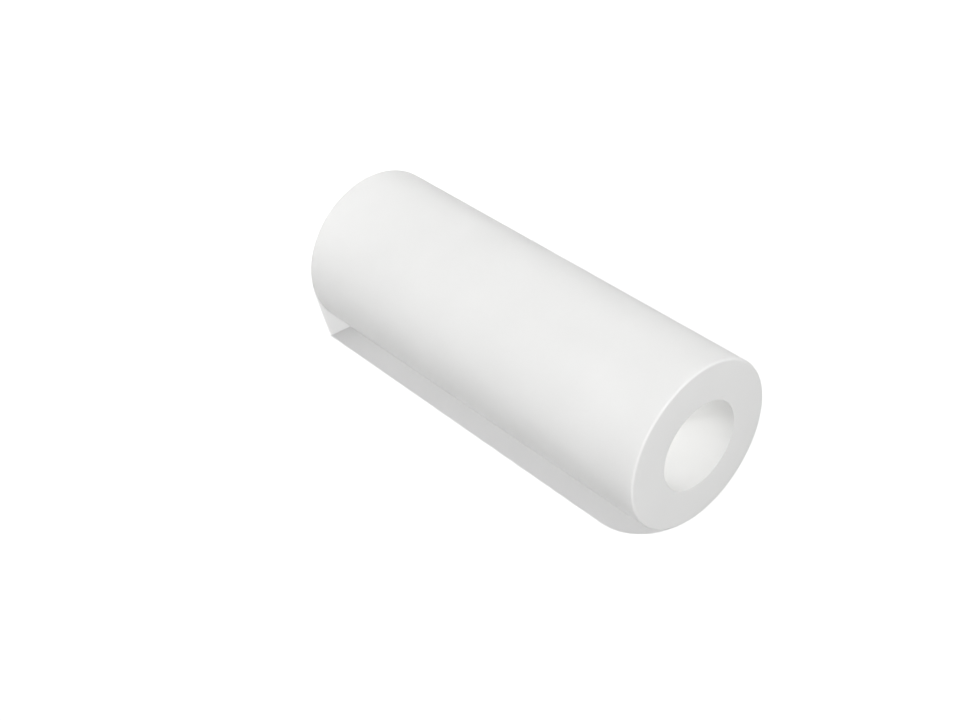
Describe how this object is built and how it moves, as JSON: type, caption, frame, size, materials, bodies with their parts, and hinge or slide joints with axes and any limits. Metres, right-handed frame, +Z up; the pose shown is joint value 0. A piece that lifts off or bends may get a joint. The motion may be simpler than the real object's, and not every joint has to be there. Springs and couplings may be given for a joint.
{
  "type": "hollow ptfe rod",
  "caption": "Thick-walled round rod of white PTFE with a plain bore right through, stock for bushes, sleeves and seals.",
  "frame": {"origin": "centre of the lower end face, on the bore axis", "axes": "+Z up the bore axis towards the upper end; the rod is round, so X and Y are any two directions square to it"},
  "size_m": [0.075, 0.075, 0.2],
  "materials": {
    "ptfe": "satin, smooth turned"
  },
  "bodies": {
    "root": {"hollow_rod": "ptfe"}
  },
  "joints": []
}
